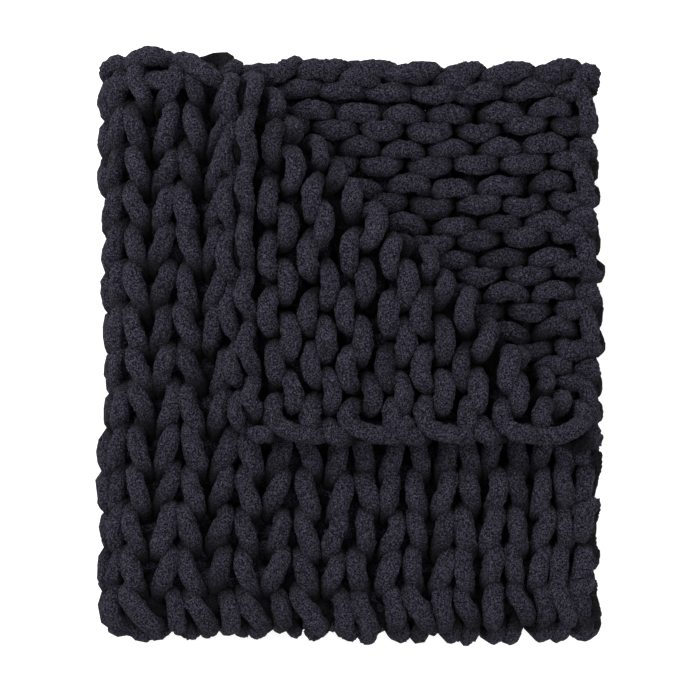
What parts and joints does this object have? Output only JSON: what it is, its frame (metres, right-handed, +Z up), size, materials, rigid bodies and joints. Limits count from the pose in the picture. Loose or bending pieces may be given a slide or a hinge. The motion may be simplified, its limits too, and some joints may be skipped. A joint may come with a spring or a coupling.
{
  "type": "chenille throw",
  "caption": "Chunky hand-knitted charcoal chenille throw, folded in four with its top right corner turned down to show the purl side.",
  "frame": {"origin": "middle of the folded throw's box, on the surface that it rests on", "axes": "+X to the right of the folded throw as it is seen from above, away from the left fold; +Y from the bottom fold towards the free top edges; +Z up"},
  "size_m": [0.6517, 0.7473, 0.1816],
  "materials": {
    "charcoal_chenille": "matt plush pile"
  },
  "bodies": {
    "root": {"throw": "charcoal_chenille"}
  },
  "joints": []
}
